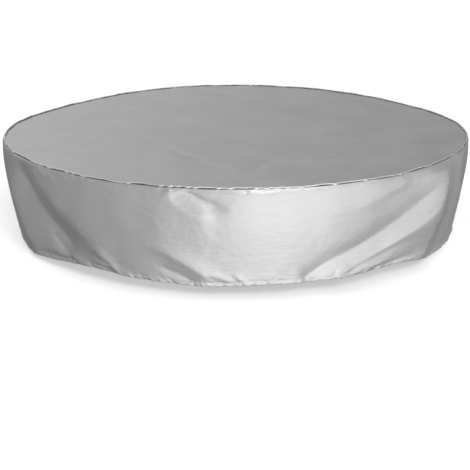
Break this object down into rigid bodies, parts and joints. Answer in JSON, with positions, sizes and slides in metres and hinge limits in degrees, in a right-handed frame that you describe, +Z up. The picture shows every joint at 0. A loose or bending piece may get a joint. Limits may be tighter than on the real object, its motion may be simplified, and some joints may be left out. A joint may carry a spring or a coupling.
{
  "type": "round spa cover",
  "caption": "Round fitted cloth spa cover with a flat top, corded rim seam, hanging skirt and elastic hem.",
  "frame": {"origin": "centre of the top cloth's underside, where the cover rests on the spa", "axes": "+Z up, out of the top; the front of the cover is -Y; +X is to its right as seen from the front"},
  "size_m": [1.811, 1.8098, 0.3677],
  "materials": {
    "cover_cloth": "silver-coated plain weave, satin sheen",
    "piping_cloth": "the same silver-coated cloth, cut as a strip",
    "seam_tape": "matt grey woven tape",
    "thread": "twisted polyester thread",
    "filler_cord": "matt white braided cord",
    "elastic": "black braided sleeve over a rubber core"
  },
  "bodies": {
    "root": {"top_panel_main": "cover_cloth", "top_panel_rear": "cover_cloth", "top_seam_tape": "seam_tape", "top_seam_stitch_front": "thread", "top_seam_stitch_rear": "thread", "skirt_front": "cover_cloth", "skirt_rear": "cover_cloth", "side_seam_tape_left": "seam_tape", "side_seam_tape_right": "seam_tape", "side_seam_stitch_left_front": "thread", "side_seam_stitch_left_rear": "thread", "side_seam_stitch_right_front": "thread", "side_seam_stitch_right_rear": "thread", "rim_piping": "piping_cloth", "rim_piping_cord": "filler_cord", "rim_binding": "seam_tape", "rim_stitching": "thread", "hem_elastic": "elastic", "hem_stitching": "thread"}
  },
  "joints": []
}
